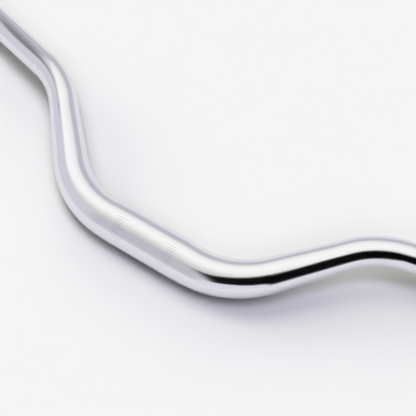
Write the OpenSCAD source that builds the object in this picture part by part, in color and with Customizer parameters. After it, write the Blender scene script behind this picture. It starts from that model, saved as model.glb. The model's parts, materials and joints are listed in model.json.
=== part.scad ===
// Riser handlebar for a bicycle: one aluminium tube, thick in the middle, tapered through its
// inner bends and swept back at the grips. It lies as it comes to rest on a table, on its clamp
// section and both ends, with the outer bends raised.
// Origin: centre of the clamp section. +X along the clamp axis, +Y the way the bar rises, +Z up.

/* [Tube] */
// Outer diameter of the clamp section, which the stem holds
clamp_d = 31.8; // [25.4:0.1:35]
// Outer diameter of the grips and of the outer bends
grip_d = 22.2; // [20:0.1:24]
// Wall thickness in the clamp section
clamp_wall = 2.3; // [1.8:0.1:3.5]
// Wall thickness at the grips
grip_wall = 2.0; // [1.5:0.1:3]
// Length of the straight-sided clamp section
clamp_len = 52; // [40:1:60]
// Length of the taper along the tube, from the clamp section to the full grip diameter
taper_len = 119; // [90:1:122]
// Chamfer on the outer and the inner edge of each end
end_chamfer = 0.5; // [0.2:0.1:0.8]

/* [Shape] */
// Width between the middles of the two end faces
width = 780; // [680:5:860]
// Distance from the middle of the bar to the inner corner, where the straight lines would meet
inner_corner = 67; // [66:1:90]
// Length of the riser from the inner corner to the outer one
riser_len = 108; // [104:1:140]
// Angle that the inner bend turns the tube up
rise_angle = 47; // [40:0.5:48]
// Angle of the grips above the clamp axis, as the rider looks at the bar
upsweep = 15; // [5:0.5:18]
// Angle of the grips back towards the rider
backsweep = 6; // [3:0.5:9]
// Bend radius of the tube's middle line, in all four bends
bend_r = 72; // [60:1:74]

/* [Hidden] */

// Sides of a circle, and the sides and rings of each tapered bend
$fn = 96;
LOFT_SIDES = 40;
LOFT_RINGS = 14;
// A bend's wall stops short of the straight stretches' surfaces by SKIN, outside and inside, and
// each straight stretch runs into its bends by LAP, so that no two surfaces touch along each other
SKIN = 0.02;
LAP = 0.5;

// Unit vector along the right grip, before the bar is laid down
grip_dir = [cos(backsweep) * cos(upsweep), cos(backsweep) * sin(upsweep), -sin(backsweep)];
// The same vector seen from the riser, whose own X runs up the riser
grip_in_riser = [
    cos(rise_angle) * grip_dir.x + sin(rise_angle) * grip_dir.y,
    cos(rise_angle) * grip_dir.y - sin(rise_angle) * grip_dir.x,
    grip_dir.z
];
// Angle of the outer bend, and the turn about the riser that points it the right way
outer_angle = acos(grip_in_riser.x);
outer_turn = atan2(grip_in_riser.z, grip_in_riser.y);

// Length that each bend takes from the straight lines on both sides of its corner
inner_cut_back = bend_r * tan(rise_angle / 2);
outer_cut_back = bend_r * tan(outer_angle / 2);

// Places along the tube's middle line, counted from the middle of the bar
clamp_end = clamp_len / 2;
inner_start = inner_corner - inner_cut_back;
inner_end = inner_start + bend_r * rise_angle * PI / 180;
outer_start = inner_end + riser_len - inner_cut_back - outer_cut_back;
taper_end = clamp_end + taper_len;

// Outer corner and end of the right half, before the bar is laid down
outer_corner = [inner_corner + riser_len * cos(rise_angle), riser_len * sin(rise_angle), 0];
grip_reach = (width / 2 - outer_corner.x) / grip_dir.x;
grip_len = grip_reach - outer_cut_back;
bar_end = outer_corner + grip_reach * grip_dir;

// Roll about the clamp axis at which the ends are as low as the clamp section. An end face leans a
// little, so its lowest point is found again from the roll of the step before.
function end_drop(roll) =
    let (lean = grip_dir.y * sin(roll) + grip_dir.z * cos(roll))
    clamp_d / 2 - grip_d / 2 * sqrt(1 - lean * lean);
function resting_roll(steps) =
    steps == 0 ? 0 :
    -asin(end_drop(resting_roll(steps - 1)) / norm([bar_end.y, bar_end.z]))
    - atan2(bar_end.z, bar_end.y);
lying_roll = resting_roll(4);

// Outer and inner radius at a place along the tube: even in the clamp section, falling evenly
// through the taper, and even again to the end
function taper_share(place) = min(max(abs(place) - clamp_end, 0) / taper_len, 1);
function outer_r(place) = clamp_d / 2 + (grip_d - clamp_d) / 2 * taper_share(place);
function wall(place) = clamp_wall + (grip_wall - clamp_wall) * taper_share(place);
function inner_r(place) = outer_r(place) - wall(place);

// Rings of points round the tapered bend, which starts at the origin along +X and turns to +Y
function bend_place(i) = inner_start + (inner_end - inner_start) * i / LOFT_RINGS;
function ring(i, r) = [
    for (k = [0 : LOFT_SIDES - 1])
        let (angle = rise_angle * i / LOFT_RINGS, round = 360 * k / LOFT_SIDES)
        let (from_centre = bend_r - r * cos(round))
        [from_centre * sin(angle), bend_r - from_centre * cos(angle), r * sin(round)]
];
function outer_ring(i) = ring(i, outer_r(bend_place(i)) - SKIN);
function inner_ring(i) = ring(i, (inner_r(bend_place(i)) + SKIN) / cos(180 / LOFT_SIDES));

// Quads between two rings, each given by the number of its first point
function band(first, second) = [
    for (k = [0 : LOFT_SIDES - 1])
        let (next = (k + 1) % LOFT_SIDES)
        [second + k, second + next, first + next, first + k]
];

// Straight stretch of tube round the X axis through the given places, with its wall
module straight(places) {
    last = len(places) - 1;
    rotate([0, 90, 0])
        rotate_extrude()
            polygon([
                for (place = places) [outer_r(place), place],
                for (i = [last : -1 : 0]) [inner_r(places[i]), places[i]]
            ]);
}

// Clamp section, with the start of the taper on both sides
module middle() {
    reach = inner_start + LAP;
    straight([-reach, -clamp_end, clamp_end, reach]);
}

// Inner bend, where the tube tapers as it turns
module inner_bend() {
    numbers = [0 : LOFT_RINGS];
    points = [
        for (i = numbers) each outer_ring(i),
        for (i = numbers) each inner_ring(i)
    ];
    inside = (LOFT_RINGS + 1) * LOFT_SIDES;
    last = LOFT_RINGS * LOFT_SIDES;
    faces = [
        for (a = [0 : LOFT_SIDES : last - 1]) each band(a, a + LOFT_SIDES),
        for (a = [0 : LOFT_SIDES : last - 1]) each band(inside + a + LOFT_SIDES, inside + a),
        each band(inside, 0),
        each band(last, inside + last)
    ];
    polyhedron(points = points, faces = faces, convexity = 6);
}

// Riser between the bends, where the taper ends
module riser() {
    translate([-inner_end, 0, 0])
        straight([inner_end - LAP, taper_end, outer_start + LAP]);
}

// Outer bend, of one radius all along
module outer_bend() {
    translate([0, bend_r, 0])
        rotate([0, 0, -90])
            rotate_extrude(angle = outer_angle)
                translate([bend_r, 0])
                    difference() {
                        circle(grip_d / 2 - SKIN);
                        circle(grip_d / 2 - grip_wall + SKIN);
                    }
}

// Straight grip section, with its end chamfered outside and inside
module grip() {
    outer = grip_d / 2;
    inner = outer - grip_wall;
    rotate([0, 90, 0])
        rotate_extrude()
            polygon([
                [inner, -LAP],
                [outer, -LAP],
                [outer, grip_len - end_chamfer],
                [outer - end_chamfer, grip_len],
                [inner + end_chamfer, grip_len],
                [inner, grip_len - end_chamfer]
            ]);
}

// Moves what follows to the far end of a bend from +X towards +Y
module after_bend(angle) {
    translate([bend_r * sin(angle), bend_r * (1 - cos(angle)), 0])
        rotate([0, 0, angle])
            children();
}

// Right half of the bar, from the inner bend to the end
module half() {
    translate([inner_start, 0, 0]) {
        inner_bend();
        after_bend(rise_angle) {
            riser();
            translate([outer_start - inner_end, 0, 0])
                rotate([outer_turn, 0, 0]) {
                    outer_bend();
                    after_bend(outer_angle)
                        grip();
                }
        }
    }
}

module handlebar() {
    color([0.80, 0.80, 0.82])
        rotate([lying_roll, 0, 0]) {
            middle();
            half();
            mirror([1, 0, 0])
                half();
        }
}

handlebar();
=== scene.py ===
"""Riser handlebar lying on a pale studio floor: the swaged and bent tube, its satin finish,
and the light that it was photographed in."""

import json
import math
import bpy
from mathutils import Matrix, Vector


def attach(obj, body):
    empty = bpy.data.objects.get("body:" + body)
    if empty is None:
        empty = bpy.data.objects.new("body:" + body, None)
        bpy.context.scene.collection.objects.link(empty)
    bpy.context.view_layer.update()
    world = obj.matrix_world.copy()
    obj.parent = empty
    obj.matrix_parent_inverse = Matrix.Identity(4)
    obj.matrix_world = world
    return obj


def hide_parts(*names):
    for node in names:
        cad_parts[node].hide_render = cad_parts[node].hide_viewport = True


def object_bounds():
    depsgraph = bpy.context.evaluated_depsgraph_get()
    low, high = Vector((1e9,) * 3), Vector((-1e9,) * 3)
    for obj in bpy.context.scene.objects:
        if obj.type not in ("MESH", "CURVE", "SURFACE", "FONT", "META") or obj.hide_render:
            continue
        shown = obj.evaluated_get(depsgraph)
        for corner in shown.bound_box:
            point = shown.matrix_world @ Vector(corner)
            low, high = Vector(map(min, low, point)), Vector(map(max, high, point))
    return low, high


bl_info = {
    "name": "Riser Handlebar",
    "version": (1, 0, 0),
    "blender": (4, 5, 0),
    "location": "View3D > Sidebar > Handlebar",
    "description": "Builds a swaged and bent handlebar tube, its finish and a studio to see it in",
    "category": "Object",
}

import bpy
from bpy.props import FloatProperty, FloatVectorProperty, IntProperty, PointerProperty
from mathutils import Matrix, Vector

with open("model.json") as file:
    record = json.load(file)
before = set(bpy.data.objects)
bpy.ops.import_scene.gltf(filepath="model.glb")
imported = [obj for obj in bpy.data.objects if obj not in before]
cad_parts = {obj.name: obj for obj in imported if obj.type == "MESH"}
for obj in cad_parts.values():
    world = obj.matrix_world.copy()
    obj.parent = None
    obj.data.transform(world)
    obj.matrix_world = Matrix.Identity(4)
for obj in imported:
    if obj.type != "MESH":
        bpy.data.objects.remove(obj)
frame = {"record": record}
CAD_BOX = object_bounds()

NODE = "handlebar"
BODY = "root"
MM = 0.001
MOUNTS = {mount["name"]: mount for mount in frame["record"]["mounts"]}


# Settings that a user would change


def millimetres(name, description, value, low, high):
    """A length, written in millimetres and shown with its unit."""
    return FloatProperty(
        name=name,
        description=description,
        default=value * MM,
        min=low * MM,
        max=high * MM,
        precision=5,
        unit="LENGTH",
    )


def share(name, description, value):
    """A plain number from 0 to 1."""
    return FloatProperty(
        name=name, description=description, default=value, min=0.0, max=1.0
    )


def degrees(name, description, value):
    """An angle, written in degrees."""
    return FloatProperty(
        name=name,
        description=description,
        default=math.radians(value),
        subtype="ANGLE",
        unit="ROTATION",
    )


def strength(name, description, value):
    """A factor on the strengths of a group of lamps."""
    return FloatProperty(
        name=name, description=description, default=value, min=0.0, max=20.0
    )


def colour(name, description, value):
    """A linear colour."""
    return FloatVectorProperty(
        name=name,
        description=description,
        default=value,
        min=0.0,
        max=2.0,
        size=3,
        subtype="COLOR",
    )


class TubeSettings(bpy.types.PropertyGroup):
    """Sizes of the tube. What the mounts state comes from the frame."""

    clamp_radius: millimetres(
        "Clamp radius",
        "Outer radius of the clamp section",
        MOUNTS["stem_clamp"]["dims"]["r_mm"],
        12,
        18,
    )
    clamp_length: millimetres(
        "Clamp length",
        "Length of the straight-sided clamp section",
        MOUNTS["stem_clamp"]["dims"]["length_mm"],
        40,
        60,
    )
    grip_radius: millimetres(
        "Grip radius",
        "Outer radius of the grips",
        MOUNTS["grip_right"]["dims"]["r_mm"],
        9,
        13,
    )
    bore_radius: millimetres(
        "Bore radius",
        "Inner radius of the tube at the grips",
        MOUNTS["bar_end_right"]["dims"]["r_mm"],
        6,
        11,
    )
    clamp_wall: millimetres("Clamp wall", "Wall thickness at the clamp", 2.3, 1, 4)
    taper_length: millimetres(
        "Taper length", "Length of the taper along the tube", 119, 60, 125
    )
    inner_corner: millimetres(
        "Inner corner", "From the middle of the bar to its inner corner", 67, 60, 90
    )
    riser_length: millimetres(
        "Riser length", "From the inner corner to the outer one", 108, 90, 150
    )
    bend_radius: millimetres(
        "Bend radius", "Radius of the middle line in the bends", 72, 50, 80
    )
    end_chamfer: millimetres(
        "End chamfer", "Chamfer on the edges of the ends", 0.5, 0.1, 1
    )
    sides: IntProperty(
        name="Sides", description="Faces round the tube", default=128, min=24, max=256
    )


class FinishSettings(bpy.types.PropertyGroup):
    """The metal and what is etched on it."""

    metal: colour("Metal", "Colour of the anodised aluminium", (0.785, 0.779, 0.822))
    inside: colour("Inside", "Colour of the drawn wall inside", (0.66, 0.66, 0.67))
    roughness: share("Roughness", "Roughness of the blasted surface", 0.13)
    grain_size: millimetres("Grain size", "Width of one blasted dimple", 0.45, 0.1, 2)
    grain_depth: millimetres(
        "Grain depth", "Depth of one blasted dimple", 0.006, 0, 0.05
    )
    etch: colour("Etching", "Colour of the etched graduations", (0.56, 0.55, 0.59))
    tick_pitch: millimetres(
        "Tick pitch", "Distance between etched graduations", 2, 1, 10
    )
    tick_width: millimetres("Tick width", "Width of an etched line", 0.32, 0.1, 1)


class StudioSettings(bpy.types.PropertyGroup):
    """Floor, light and camera."""

    floor: colour("Floor", "Colour of the floor", (0.92, 0.92, 0.92))
    backdrop: colour("Backdrop", "Colour behind the floor", (0.913, 0.913, 0.913))
    room: colour("Room", "Light from the walls of the studio", (0.765, 0.757, 0.815))
    softbox: colour("Softbox", "Light of the softbox at its brightest", (1.165, 1.175, 1.11))
    key: strength("Key light", "From the left behind the bar, gives the shadows", 1.02)
    fill: strength("Fill light", "From above and from the camera's side", 1.02)
    walls: share("Walls", "How much of the mirrored light reaches the floor", 0.0)
    yaw: degrees("Yaw", "Turn of the camera from looking along +Y", -33.46)
    pitch: degrees("Pitch", "Tilt of the camera below level", 57.66)
    roll: degrees("Roll", "Roll of the camera", -0.31)
    distance: millimetres(
        "Distance", "From the camera to its target", 687.8, 100, 5000
    )
    focal: millimetres("Focal length", "On a sensor 36 mm wide", 80.77, 20, 200)
    target: FloatVectorProperty(
        name="Target",
        description="Point at the height of the clamp axis in the middle of the picture",
        default=(19.36 * MM, 46.84 * MM, 0.0),
        size=3,
        subtype="TRANSLATION",
    )


# The tube's middle line


def fillet(corner, before, after, radius):
    """Arc that rounds a corner between two directions: its start, its angle, the unit vector that
    it starts along, and the one towards its centre."""
    angle = before.angle(after)
    start = corner - before * radius * math.tan(angle / 2)
    inward = (after - before * before.dot(after)).normalized()
    return start, angle, before, inward


def middle_line(tube):
    """Stretches of the right half, from the middle outward. Each is its length, and a function that
    gives the point and direction at a distance along it."""
    grip = MOUNTS["grip_right"]
    along_grip = Vector(grip["axis"]).normalized()
    grip_middle = Vector(grip["pos_m"])
    end = grip_middle + along_grip * grip["dims"]["length_mm"] * MM / 2
    inner_corner = Vector((tube.inner_corner, 0, 0))
    # the outer corner is on the grip's axis, a riser's length from the inner one
    offset = grip_middle - inner_corner
    half = offset.dot(along_grip)
    back = half - math.sqrt(
        half * half - offset.length_squared + tube.riser_length**2
    )
    outer_corner = grip_middle - along_grip * back
    along_clamp = Vector((1, 0, 0))
    along_riser = (outer_corner - inner_corner).normalized()
    bends = [
        fillet(inner_corner, along_clamp, along_riser, tube.bend_radius),
        fillet(outer_corner, along_riser, along_grip, tube.bend_radius),
    ]
    stretches = []
    at = Vector((0, 0, 0))
    for start, angle, before, inward in bends:
        stretches.append(line((start - at).length, at, before))
        stretches.append(arc(start, angle, before, inward, tube.bend_radius))
        at = stretches[-1][1](tube.bend_radius * angle)[0]
    stretches.append(line((end - at).length, at, along_grip))
    return stretches


def line(length, start, direction):
    """A straight stretch."""

    def at(distance):
        return start + direction * distance, direction

    return length, at


def arc(start, angle, before, inward, radius):
    """A bend of the given angle, from one direction towards another."""

    def at(distance):
        turn = distance / radius
        point = (
            start
            + before * radius * math.sin(turn)
            + inward * radius * (1 - math.cos(turn))
        )
        return point, before * math.cos(turn) + inward * math.sin(turn)

    return radius * angle, at


def on_line(stretches, place):
    """Point and direction at a place along the whole bar, negative on the left."""
    distance = abs(place)
    for number, (length, at) in enumerate(stretches):
        if distance <= length or number == len(stretches) - 1:
            break
        distance -= length
    point, direction = at(distance)
    if place < 0:
        point = Vector((-point.x, point.y, point.z))
        direction = Vector((direction.x, -direction.y, -direction.z))
    return point, direction


# The tube's mesh


# Largest gap between the rings of points in a bend and on a straight stretch
RING_GAP_BEND = 1.6 * MM
RING_GAP_STRAIGHT = 6.0 * MM
# Steps that round each edge of an end, and the last plain ring's distance from the end in chamfers
LIP_STEPS = 4
LIP_MARGIN = 3
# Material slots of the tube
OUTSIDE_SLOT = 0
INSIDE_SLOT = 1


def swaged_radius(tube, place, inside):
    """Radius of the outer or inner skin at a place: even, then falling evenly, then even again."""
    past = abs(place) - tube.clamp_length / 2
    through = min(max(past / tube.taper_length, 0.0), 1.0)
    clamp = tube.clamp_radius - (tube.clamp_wall if inside else 0.0)
    grip = tube.bore_radius if inside else tube.grip_radius
    return clamp + (grip - clamp) * through


def ring_places(tube, stretches):
    """Places of the rings along the right half, close together in the bends and one at each change
    of form, and the place of the end."""
    places = [0.0]
    start = 0.0
    breaks = [tube.clamp_length / 2, tube.clamp_length / 2 + tube.taper_length]
    for number, (length, _) in enumerate(stretches):
        stops = [start] + [b for b in breaks if start < b < start + length]
        stops.append(start + length)
        gap = RING_GAP_BEND if number % 2 else RING_GAP_STRAIGHT
        for low, high in zip(stops, stops[1:]):
            count = max(1, math.ceil((high - low) / gap))
            places += [low + (high - low) * (i + 1) / count for i in range(count)]
        start += length
    end = places.pop()
    return places, end


def lip(tube, end):
    """Rings round the end of the tube, from the outer skin to the inner one, each as its place and
    its radius."""
    size = tube.end_chamfer
    outer = tube.grip_radius
    inner = tube.bore_radius
    rings = []
    for i in range(LIP_STEPS + 1):
        turn = math.pi / 2 * i / LIP_STEPS
        back = size * (1 - math.sin(turn))
        rings.append((end - back, outer - size * (1 - math.cos(turn))))
    for i in range(LIP_STEPS + 1):
        turn = math.pi / 2 * (1 - i / LIP_STEPS)
        back = size * (1 - math.sin(turn))
        rings.append((end - back, inner + size * (1 - math.cos(turn))))
    return rings


def tube_rings(tube, stretches):
    """All rings in one closed round, each as its place, its radius and whether it is inside: along
    the outer skin to the right end, back through the bore to the left end, and home."""
    places, end = ring_places(tube, stretches)
    places.append(end - LIP_MARGIN * tube.end_chamfer)
    half = [(p, swaged_radius(tube, p, False), False) for p in places]
    half += [(p, r, False) for p, r in lip(tube, end)]
    half += [(p, swaged_radius(tube, p, True), True) for p in reversed(places)]
    other = [(-p, r, inside) for p, r, inside in reversed(half)]
    return half + other[1:-1]


def ring_points(point, direction, radius, sides):
    """Points of a ring round the middle line, from its highest one on."""
    up = Vector((0, 0, 1))
    high = (up - direction * up.dot(direction)).normalized()
    across = high.cross(direction)
    turns = [2 * math.pi * k / sides for k in range(sides)]
    return [
        tuple(
            point + high * radius * math.cos(turn) + across * radius * math.sin(turn)
        )
        for turn in turns
    ]


def tube_mesh(tube):
    """Mesh of the whole tube. Its UVs are in metres: round the tube at the clamp's radius, and
    along it."""
    stretches = middle_line(tube)
    rings = tube_rings(tube, stretches)
    verts = []
    for place, radius, _ in rings:
        verts += ring_points(*on_line(stretches, place), radius, tube.sides)
    faces = []
    uvs = []
    inside = []
    step = 2 * math.pi * tube.clamp_radius / tube.sides
    for i, (place, _, ring_inside) in enumerate(rings):
        after = (i + 1) % len(rings)
        next_place = rings[after][0]
        for k in range(tube.sides):
            beside = (k + 1) % tube.sides
            faces.append(
                (
                    i * tube.sides + k,
                    after * tube.sides + k,
                    after * tube.sides + beside,
                    i * tube.sides + beside,
                )
            )
            uvs += [
                (k * step, place),
                (k * step, next_place),
                ((k + 1) * step, next_place),
                ((k + 1) * step, place),
            ]
            inside.append(ring_inside and rings[after][2])
    mesh = bpy.data.meshes.new("handlebar_tube")
    mesh.from_pydata(verts, [], faces)
    layer = mesh.uv_layers.new(name="tube")
    for loop, uv in zip(layer.data, uvs):
        loop.uv = uv
    for face, is_inside in zip(mesh.polygons, inside):
        face.material_index = INSIDE_SLOT if is_inside else OUTSIDE_SLOT
        face.use_smooth = True
    mesh.validate()
    mesh.update()
    return mesh


# Materials


def new_group(name, inputs, outputs):
    """Empty shader node group with named sockets, its input node and its output node."""
    group = bpy.data.node_groups.new(name, "ShaderNodeTree")
    for label, kind in inputs:
        group.interface.new_socket(label, in_out="INPUT", socket_type=kind)
    for label, kind in outputs:
        group.interface.new_socket(label, in_out="OUTPUT", socket_type=kind)
    start = group.nodes.new("NodeGroupInput")
    end = group.nodes.new("NodeGroupOutput")
    return group, start, end


def math_node(tree, operation, *values):
    """Math node fed by numbers or sockets, and its output."""
    node = tree.nodes.new("ShaderNodeMath")
    node.operation = operation
    for socket, value in zip(node.inputs, values):
        feed(tree, value, socket)
    return node.outputs[0]


def vector_node(tree, operation, *values, output="Vector"):
    """Vector Math node fed by vectors or sockets, and its output."""
    node = tree.nodes.new("ShaderNodeVectorMath")
    node.operation = operation
    for socket, value in zip(node.inputs, values):
        feed(tree, value, socket)
    return node.outputs[output]


def feed(tree, value, socket):
    """Links a socket, or sets a plain value."""
    if isinstance(value, bpy.types.NodeSocket):
        tree.links.new(value, socket)
    else:
        socket.default_value = value


def smooth_range(tree, value, low, high, to_low, to_high):
    """Map Range with soft ends, and its output."""
    node = tree.nodes.new("ShaderNodeMapRange")
    node.interpolation_type = "SMOOTHSTEP"
    feed(tree, value, node.inputs["Value"])
    feed(tree, low, node.inputs["From Min"])
    feed(tree, high, node.inputs["From Max"])
    feed(tree, to_low, node.inputs["To Min"])
    feed(tree, to_high, node.inputs["To Max"])
    return node.outputs["Result"]


def mix_colour(tree, mask, first, second):
    """Mix node for colours, and its output."""
    node = tree.nodes.new("ShaderNodeMix")
    node.data_type = "RGBA"
    feed(tree, mask, node.inputs["Factor"])
    feed(tree, first, node.inputs["A"])
    feed(tree, second, node.inputs["B"])
    return next(s for s in node.outputs if s.type == "RGBA")


def noise(tree, vector, scale, detail, roughness=0.5):
    """Noise texture, and its value."""
    node = tree.nodes.new("ShaderNodeTexNoise")
    feed(tree, vector, node.inputs["Vector"])
    feed(tree, scale, node.inputs["Scale"])
    node.inputs["Detail"].default_value = detail
    node.inputs["Roughness"].default_value = roughness
    return node.outputs[0]


# Detail and roughness of the noise that makes the dimples, and detail of the slow unevenness
GRAIN_DETAIL = 2.0
GRAIN_NOISE = 0.6
CLOUD_DETAIL = 3.0


def blasted_grain():
    """Group: the fine dimples that bead blasting leaves, with slow unevenness over them."""
    group, start, end = new_group(
        "Blasted grain",
        [
            ("Vector", "NodeSocketVector"),
            ("Grain Scale", "NodeSocketFloat"),
            ("Cloud Scale", "NodeSocketFloat"),
        ],
        [("Height", "NodeSocketFloat"), ("Cloud", "NodeSocketFloat")],
    )
    vector = start.outputs["Vector"]
    grain_scale = start.outputs["Grain Scale"]
    cloud_scale = start.outputs["Cloud Scale"]
    grain = noise(group, vector, grain_scale, GRAIN_DETAIL, GRAIN_NOISE)
    cloud = noise(group, vector, cloud_scale, CLOUD_DETAIL)
    group.links.new(grain, end.inputs["Height"])
    group.links.new(cloud, end.inputs["Cloud"])
    return group


# Graduations at both ends of the clamp section: how many lines on each side of the middle one, and
# every how many a longer one; the angle of the middle one from the top towards the front; and where
# along the clamp axis a long line begins, a short line begins, and both end
TICKS_EACH_WAY = 4
LONG_TICK_EVERY = 4
TICK_MIDDLE = math.radians(34)
LONG_TICK_START = 16 * MM
TICK_START = 19.5 * MM
TICK_END = 25 * MM
TICK_SOFTNESS = 0.06 * MM


def clamp_graduations():
    """Group: fine lines along the clamp, by which the bar's angle in the stem is set."""
    group, start, end = new_group(
        "Clamp graduations",
        [
            ("Vector", "NodeSocketVector"),
            ("Radius", "NodeSocketFloat"),
            ("Pitch", "NodeSocketFloat"),
            ("Width", "NodeSocketFloat"),
        ],
        [("Mask", "NodeSocketFloat")],
    )
    place = group.nodes.new("ShaderNodeSeparateXYZ")
    group.links.new(start.outputs["Vector"], place.inputs[0])
    pitch = start.outputs["Pitch"]
    turn = math_node(group, "ARCTAN2", place.outputs["Y"], place.outputs["Z"])
    turn = math_node(group, "ADD", turn, TICK_MIDDLE)
    round_tube = math_node(group, "MULTIPLY", turn, start.outputs["Radius"])
    count = math_node(group, "DIVIDE", round_tube, pitch)
    nearest = math_node(group, "ROUND", count)
    beside = math_node(group, "ABSOLUTE", math_node(group, "SUBTRACT", count, nearest))
    beside = math_node(group, "MULTIPLY", beside, pitch)
    half = math_node(group, "MULTIPLY", start.outputs["Width"], 0.5)
    line_mask = smooth_range(
        group,
        beside,
        math_node(group, "SUBTRACT", half, TICK_SOFTNESS),
        math_node(group, "ADD", half, TICK_SOFTNESS),
        1.0,
        0.0,
    )
    number = math_node(group, "ABSOLUTE", nearest)
    counted = math_node(group, "LESS_THAN", number, TICKS_EACH_WAY + 0.5)
    long = math_node(
        group, "LESS_THAN", math_node(group, "MODULO", number, LONG_TICK_EVERY), 0.5
    )
    begin = math_node(
        group, "MULTIPLY_ADD", long, LONG_TICK_START - TICK_START, TICK_START
    )
    along = math_node(group, "ABSOLUTE", place.outputs["X"])
    after = math_node(group, "GREATER_THAN", along, begin)
    before = math_node(group, "LESS_THAN", along, TICK_END)
    mask = math_node(group, "MULTIPLY", line_mask, counted)
    mask = math_node(group, "MULTIPLY", mask, after)
    mask = math_node(group, "MULTIPLY", mask, before)
    group.links.new(mask, end.inputs["Mask"])
    return group


def place_group(tree, group, **values):
    """Group node in a material, fed with its own values."""
    node = tree.nodes.new("ShaderNodeGroup")
    node.node_tree = group
    for label, value in values.items():
        feed(tree, value, node.inputs[label.replace("_", " ")])
    return node


def new_material(name):
    """Material with an empty tree, its Principled BSDF linked to the output."""
    material = bpy.data.materials.new(name)
    material.use_nodes = True
    tree = material.node_tree
    tree.nodes.clear()
    shader = tree.nodes.new("ShaderNodeBsdfPrincipled")
    output = tree.nodes.new("ShaderNodeOutputMaterial")
    tree.links.new(shader.outputs[0], output.inputs["Surface"])
    return material, tree, shader


def object_coordinates(tree):
    """Place on the object, in metres."""
    return tree.nodes.new("ShaderNodeTexCoord").outputs["Object"]


def add_bump(tree, shader, height, depth):
    """Bump from a height of 0 to 1, of the given real depth."""
    bump = tree.nodes.new("ShaderNodeBump")
    bump.inputs["Strength"].default_value = 1.0
    bump.inputs["Distance"].default_value = depth
    tree.links.new(height, bump.inputs["Height"])
    tree.links.new(bump.outputs[0], shader.inputs["Normal"])


# Outer metal: its slow unevenness in lumps to the metre, how far that moves its colour and its
# roughness, and how much rougher the etched lines are
CLOUD_SCALE = 60.0
TONE_SPREAD = 0.015
ROUGHNESS_SPREAD = 0.04
ETCHED_ROUGHNESS = 0.12
BLACK = (0.0, 0.0, 0.0, 1.0)


def toned(metal, factor):
    """A metal's colour made lighter or darker, for a colour socket."""
    return (*[factor * c for c in metal], 1.0)


def satin_anodised(tube, finish, grain_group):
    """Bead-blasted and clear anodised aluminium, with graduations etched on the clamp section."""
    material, tree, shader = new_material("satin_anodised_aluminium")
    grain = place_group(
        tree,
        grain_group,
        Vector=object_coordinates(tree),
        Grain_Scale=1 / finish.grain_size,
        Cloud_Scale=CLOUD_SCALE,
    )
    tone = mix_colour(
        tree,
        grain.outputs["Cloud"],
        toned(finish.metal, 1 - TONE_SPREAD),
        toned(finish.metal, 1 + TONE_SPREAD),
    )
    ticks = place_group(
        tree,
        clamp_graduations(),
        Vector=object_coordinates(tree),
        Radius=tube.clamp_radius,
        Pitch=finish.tick_pitch,
        Width=finish.tick_width,
    )
    etched = ticks.outputs["Mask"]
    tone = mix_colour(tree, etched, tone, (*finish.etch, 1.0))
    # painted shade: for light that bounces on towards the floor the metal's colour is black, so the
    # bar sends hardly any light back to the floor, which keeps the shadow under it deeper than the
    # lamps alone make it
    path = tree.nodes.new("ShaderNodeLightPath")
    tone = mix_colour(tree, path.outputs["Is Diffuse Ray"], tone, BLACK)
    tree.links.new(tone, shader.inputs["Base Color"])
    rough = math_node(
        tree,
        "MULTIPLY_ADD",
        grain.outputs["Cloud"],
        ROUGHNESS_SPREAD,
        finish.roughness - ROUGHNESS_SPREAD / 2,
    )
    rough = math_node(tree, "MULTIPLY_ADD", etched, ETCHED_ROUGHNESS, rough)
    tree.links.new(rough, shader.inputs["Roughness"])
    shader.inputs["Metallic"].default_value = 1.0
    add_bump(tree, shader, grain.outputs["Height"], finish.grain_depth)
    return material


# Wall inside: how many times coarser its grain is than outside, its slow unevenness in lumps to the
# metre, its darkest tone, its least roughness, and how far its roughness goes above that
INSIDE_GRAIN = 2
INSIDE_CLOUD_SCALE = 20.0
INSIDE_TONE = 0.9
INSIDE_ROUGHNESS = 0.4
INSIDE_ROUGHNESS_SPREAD = 0.2


def drawn_inside(finish, grain_group):
    """Bare drawn wall inside the tube."""
    material, tree, shader = new_material("drawn_aluminium_inside")
    grain = place_group(
        tree,
        grain_group,
        Vector=object_coordinates(tree),
        Grain_Scale=1 / (INSIDE_GRAIN * finish.grain_size),
        Cloud_Scale=INSIDE_CLOUD_SCALE,
    )
    tone = mix_colour(
        tree,
        grain.outputs["Cloud"],
        toned(finish.inside, INSIDE_TONE),
        toned(finish.inside, 1),
    )
    tree.links.new(tone, shader.inputs["Base Color"])
    rough = math_node(
        tree,
        "MULTIPLY_ADD",
        grain.outputs["Cloud"],
        INSIDE_ROUGHNESS_SPREAD,
        INSIDE_ROUGHNESS,
    )
    tree.links.new(rough, shader.inputs["Roughness"])
    shader.inputs["Metallic"].default_value = 1.0
    depth = INSIDE_GRAIN * finish.grain_depth
    add_bump(tree, shader, grain.outputs["Height"], depth)
    return material


# Studio


# Least cosine between a direction and a panel's own at which the direction can meet the panel
LEAST_AHEAD = 0.001


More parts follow.
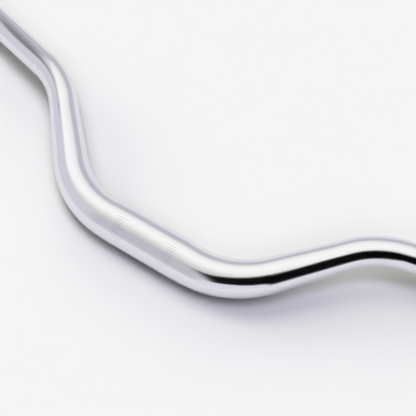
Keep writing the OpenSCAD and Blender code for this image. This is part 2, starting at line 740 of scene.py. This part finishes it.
def studio_panel():
    """Group: how much of a panel a direction meets. The panel faces the bar squarely at its Toward
    direction, and its sizes are tangents of angles seen from the bar."""
    group, start, end = new_group(
        "Studio panel",
        [
            ("Direction", "NodeSocketVector"),
            ("Toward", "NodeSocketVector"),
            ("Across", "NodeSocketVector"),
            ("Half Width", "NodeSocketFloat"),
            ("Half Height", "NodeSocketFloat"),
            ("Softness", "NodeSocketFloat"),
        ],
        [("Mask", "NodeSocketFloat")],
    )
    direction = start.outputs["Direction"]
    toward = start.outputs["Toward"]
    across = start.outputs["Across"]
    soft = start.outputs["Softness"]
    upward = vector_node(group, "CROSS_PRODUCT", toward, across)
    ahead = vector_node(group, "DOT_PRODUCT", direction, toward, output="Value")
    ahead_safe = math_node(group, "MAXIMUM", ahead, LEAST_AHEAD)
    mask = math_node(group, "GREATER_THAN", ahead, LEAST_AHEAD)
    for axis, size in ((across, "Half Width"), (upward, "Half Height")):
        side = vector_node(group, "DOT_PRODUCT", direction, axis, output="Value")
        ratio = math_node(
            group, "ABSOLUTE", math_node(group, "DIVIDE", side, ahead_safe)
        )
        half = start.outputs[size]
        edge = smooth_range(
            group,
            ratio,
            math_node(group, "SUBTRACT", half, soft),
            math_node(group, "ADD", half, soft),
            1.0,
            0.0,
        )
        mask = math_node(group, "MULTIPLY", mask, edge)
    group.links.new(mask, end.inputs["Mask"])
    return group


def from_angles(azimuth, elevation):
    """Unit vector at an azimuth from +X towards +Y, and an elevation above level, in degrees."""
    a, e = math.radians(azimuth), math.radians(elevation)
    return Vector((math.cos(a) * math.cos(e), math.sin(a) * math.cos(e), math.sin(e)))


# Parts of the room round the bar: azimuth, elevation, half width, half height, softness, and light
# relative to the walls
ROOM_PARTS = {
    "grey front left": (252, 36, 0.32, 0.55, 0.12, 0.83),
    "back wall": (115, 24, 1.10, 0.27, 0.06, 0.81),
    "dark front": (310, 38, 0.60, 0.64, 0.11, 0.0),
}


def spared_floor(tree, path, studio):
    """Strength of the light that the metal mirrors: whole in the metal, and cut to the walls
    setting on the floor, which the lamps light."""
    later = math_node(tree, "MINIMUM", path.outputs["Diffuse Depth"], 1.0)
    on_floor = math_node(tree, "MAXIMUM", path.outputs["Is Diffuse Ray"], later)
    return math_node(tree, "MULTIPLY_ADD", on_floor, studio.walls - 1.0, 1.0)


def build_world(studio):
    """World as the studio's walls: pale, a little greyer at the back and the front left, and black
    round the camera."""
    world = bpy.data.worlds.new("studio_world")
    world.use_nodes = True
    tree = world.node_tree
    tree.nodes.clear()
    direction = tree.nodes.new("ShaderNodeTexCoord").outputs["Generated"]
    panel = studio_panel()
    room = Vector(studio.room)
    light = (*room, 1.0)
    for azimuth, elevation, width, height, soft, level in ROOM_PARTS.values():
        toward = from_angles(azimuth, elevation)
        across = Vector((0, 0, 1)).cross(toward).normalized()
        node = place_group(
            tree,
            panel,
            Direction=direction,
            Toward=tuple(toward),
            Across=tuple(across),
            Half_Width=width,
            Half_Height=height,
            Softness=soft,
        )
        part_light = (*(room * level), 1.0)
        light = mix_colour(tree, node.outputs["Mask"], light, part_light)
    path = tree.nodes.new("ShaderNodeLightPath")
    seen = mix_colour(
        tree, path.outputs["Is Camera Ray"], light, (*studio.backdrop, 1.0)
    )
    background = tree.nodes.new("ShaderNodeBackground")
    tree.links.new(seen, background.inputs["Color"])
    tree.links.new(spared_floor(tree, path, studio), background.inputs["Strength"])
    output = tree.nodes.new("ShaderNodeOutputWorld")
    tree.links.new(background.outputs[0], output.inputs["Surface"])
    bpy.context.scene.world = world


def new_card(name, corners):
    """Flat card that glows, seen in the metal and not by the camera or the floor. Gives its
    emission node and its tree."""
    mesh = bpy.data.meshes.new(name)
    points = [tuple(Vector(corner) * MM) for corner in corners]
    mesh.from_pydata(points, [], [tuple(range(len(points)))])
    piece = bpy.data.objects.new(name, mesh)
    bpy.context.collection.objects.link(piece)
    material = bpy.data.materials.new(name)
    material.use_nodes = True
    tree = material.node_tree
    tree.nodes.clear()
    glow = tree.nodes.new("ShaderNodeEmission")
    output = tree.nodes.new("ShaderNodeOutputMaterial")
    tree.links.new(glow.outputs[0], output.inputs["Surface"])
    mesh.materials.append(material)
    piece.visible_camera = False
    piece.visible_diffuse = False
    piece.visible_shadow = False
    return glow, tree


# Softbox, in millimetres: its height, and its outline seen from above, cut away at the front right.
# Along Y its light rises from the front's share of its brightest over one stretch, and falls to the
# back's share over the other.
SOFTBOX_HEIGHT = 500
SOFTBOX_OUTLINE = [
    (-500, -330),
    (50, -330),
    (80, -265),
    (118, -195),
    (165, -93),
    (275, -93),
    (326, -145),
    (306, -80),
    (306, 690),
    (-500, 690),
]
SOFTBOX_RISE = (-330, 120)
SOFTBOX_FALL = (150, 800)
SOFTBOX_FRONT = 0.63
SOFTBOX_BACK = 0.74
# Low white card in front of the bar, and dark and grey cards to its left: corners in millimetres,
# and light relative to the walls
CARDS = {
    "bounce_card": (
        [
            (50, -150, -15),
            (350, -150, -15),
            (350, -150, 8),
            (292, -150, 28),
            (264, -150, 84),
            (244, -150, 92),
            (130, -150, 84),
            (70, -150, 60),
            (50, -150, 40),
        ],
        1.15,
    ),
    "dark_card": (
        [(-400, 55, 180), (-400, 210, 190), (-400, 210, 280), (-400, 55, 280)],
        0.36,
    ),
    "grey_card": (
        [(-400, 210, 185), (-400, 330, 165), (-400, 330, 290), (-400, 210, 290)],
        0.56,
    ),
}


def build_softbox(studio):
    """Softbox overhead, brightest along its middle."""
    corners = [(x, y, SOFTBOX_HEIGHT) for x, y in SOFTBOX_OUTLINE]
    glow, tree = new_card("softbox", corners)
    place = tree.nodes.new("ShaderNodeSeparateXYZ")
    tree.links.new(object_coordinates(tree), place.inputs[0])
    along = place.outputs["Y"]
    rise = smooth_range(
        tree, along, *[v * MM for v in SOFTBOX_RISE], SOFTBOX_FRONT, 1.0
    )
    fall = smooth_range(tree, along, *[v * MM for v in SOFTBOX_FALL], 1.0, SOFTBOX_BACK)
    path = tree.nodes.new("ShaderNodeLightPath")
    level = math_node(tree, "MULTIPLY", rise, fall)
    level = math_node(tree, "MULTIPLY", level, spared_floor(tree, path, studio))
    glow.inputs["Color"].default_value = (*studio.softbox, 1.0)
    tree.links.new(level, glow.inputs["Strength"])


def build_cards(studio):
    """Cards that fill or darken what the metal mirrors near it."""
    for name, (corners, level) in CARDS.items():
        glow, _ = new_card(name, corners)
        glow.inputs["Color"].default_value = (*(Vector(studio.room) * level), 1.0)


# Half the floor's width, in metres
FLOOR_HALF = 6.0


def build_floor(studio):
    """Level floor that the bar lies on."""
    low = CAD_BOX[0][2]
    corners = [
        (x * FLOOR_HALF, y * FLOOR_HALF, low)
        for x, y in ((-1, -1), (1, -1), (1, 1), (-1, 1))
    ]
    mesh = bpy.data.meshes.new("studio_floor")
    mesh.from_pydata(corners, [], [(0, 1, 2, 3)])
    floor = bpy.data.objects.new("studio_floor", mesh)
    bpy.context.collection.objects.link(floor)
    material, tree, shader = new_material("studio_paper")
    shader.inputs["Base Color"].default_value = (*studio.floor, 1.0)
    shader.inputs["Roughness"].default_value = 1.0
    shader.inputs["Specular IOR Level"].default_value = 0.0
    mesh.materials.append(material)


# Lamps: azimuth, elevation and width in degrees, and strength
KEY_LAMPS = {
    "key_lamp": (150, 60, 30, 0.95),
    "back_lamp": (120, 30, 30, 0.66),
    "left_lamp": (180, 25, 30, 0.80),
}
FILL_LAMPS = {
    "top_lamp": (0, 88, 20, 0.51),
    "right_lamp": (345, 72, 30, 0.80),
    "front_lamp": (310, 45, 30, 0.42),
}
KEY_COLOUR = (0.991, 1.023, 0.855)
FILL_COLOUR = (1.01, 0.975, 1.16)


def distant_lamp(name, azimuth, elevation, width, energy, tint):
    """Soft lamp far away, which lights the floor evenly and isn't mirrored in the metal."""
    data = bpy.data.lights.new(name, "SUN")
    data.angle = math.radians(width)
    data.energy = energy
    data.color = tint
    lamp = bpy.data.objects.new(name, data)
    toward = from_angles(azimuth, elevation)
    lamp.location = toward
    lamp.rotation_euler = toward.to_track_quat("Z", "Y").to_euler()
    lamp.visible_glossy = False
    bpy.context.collection.objects.link(lamp)


def build_lamps(studio):
    """Key light from the left and behind, which gives the shadows, and bluer fill light from above,
    the right and the front."""
    for lamps, tint, factor in (
        (KEY_LAMPS, KEY_COLOUR, studio.key),
        (FILL_LAMPS, FILL_COLOUR, studio.fill),
    ):
        for name, (azimuth, elevation, width, energy) in lamps.items():
            distant_lamp(name, azimuth, elevation, width, energy * factor, tint)


SENSOR_MM = 36
# Nearest and farthest that the camera sees
CLIP_START = 10 * MM
CLIP_END = 100.0


def build_camera(studio):
    """Camera at the photograph's place, for a square picture."""
    yaw, pitch = studio.yaw, studio.pitch
    forward = Vector(
        (
            math.sin(yaw) * math.cos(pitch),
            math.cos(yaw) * math.cos(pitch),
            -math.sin(pitch),
        )
    )
    level = Vector((math.cos(yaw), -math.sin(yaw), 0.0))
    above = level.cross(forward)
    right = level * math.cos(studio.roll) + above * math.sin(studio.roll)
    up = right.cross(forward)
    data = bpy.data.cameras.new("camera")
    data.sensor_fit = "HORIZONTAL"
    data.sensor_width = SENSOR_MM
    data.lens = studio.focal / MM
    data.clip_start = CLIP_START
    data.clip_end = CLIP_END
    camera = bpy.data.objects.new("camera", data)
    turn = Matrix((right, up, -forward)).transposed().to_4x4()
    place = Vector(studio.target) - forward * studio.distance
    camera.matrix_world = Matrix.Translation(place) @ turn
    bpy.context.collection.objects.link(camera)
    bpy.context.scene.camera = camera


# Operators, one for each piece and one for the stage


class OBJECT_OT_handlebar_tube(bpy.types.Operator):
    """Builds the bent and swaged tube with its finish, in the place of the plain one"""

    bl_idname = "object.handlebar_tube"
    bl_label = "Handlebar Tube"
    bl_options = {"REGISTER", "UNDO"}

    def execute(self, context):
        tube = context.scene.handlebar_tube
        finish = context.scene.handlebar_finish
        piece = bpy.data.objects.new("handlebar_tube", tube_mesh(tube))
        context.collection.objects.link(piece)
        grain = blasted_grain()
        piece.data.materials.append(satin_anodised(tube, finish, grain))
        piece.data.materials.append(drawn_inside(finish, grain))
        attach(piece, BODY)
        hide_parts(NODE)
        return {"FINISHED"}


class SCENE_OT_handlebar_studio(bpy.types.Operator):
    """Builds the floor, the light and the camera"""

    bl_idname = "scene.handlebar_studio"
    bl_label = "Handlebar Studio"
    bl_options = {"REGISTER", "UNDO"}

    def execute(self, context):
        studio = context.scene.handlebar_studio
        build_camera(studio)
        build_floor(studio)
        build_lamps(studio)
        build_softbox(studio)
        build_cards(studio)
        build_world(studio)
        context.scene.view_settings.view_transform = "Standard"
        return {"FINISHED"}


class VIEW3D_PT_handlebar(bpy.types.Panel):
    """Sidebar panel with the operators and the main sizes"""

    bl_idname = "VIEW3D_PT_handlebar"
    bl_label = "Handlebar"
    bl_space_type = "VIEW_3D"
    bl_region_type = "UI"
    bl_category = "Handlebar"

    def draw(self, context):
        layout = self.layout
        for operator in (SCENE_OT_handlebar_studio, OBJECT_OT_handlebar_tube):
            layout.operator(operator.bl_idname)
        for settings in (
            context.scene.handlebar_tube,
            context.scene.handlebar_finish,
            context.scene.handlebar_studio,
        ):
            column = layout.column(align=True)
            for name in settings.__annotations__:
                column.prop(settings, name)


CLASSES = (
    TubeSettings,
    FinishSettings,
    StudioSettings,
    OBJECT_OT_handlebar_tube,
    SCENE_OT_handlebar_studio,
    VIEW3D_PT_handlebar,
)


def register():
    for cls in CLASSES:
        bpy.utils.register_class(cls)
    bpy.types.Scene.handlebar_tube = PointerProperty(type=TubeSettings)
    bpy.types.Scene.handlebar_finish = PointerProperty(type=FinishSettings)
    bpy.types.Scene.handlebar_studio = PointerProperty(type=StudioSettings)


def unregister():
    del bpy.types.Scene.handlebar_studio
    del bpy.types.Scene.handlebar_finish
    del bpy.types.Scene.handlebar_tube
    for cls in reversed(CLASSES):
        bpy.utils.unregister_class(cls)


def main():
    """Builds the studio and the bar."""
    register()
    bpy.ops.scene.handlebar_studio()
    bpy.ops.object.handlebar_tube()


if __name__ == "__main__":
    main()
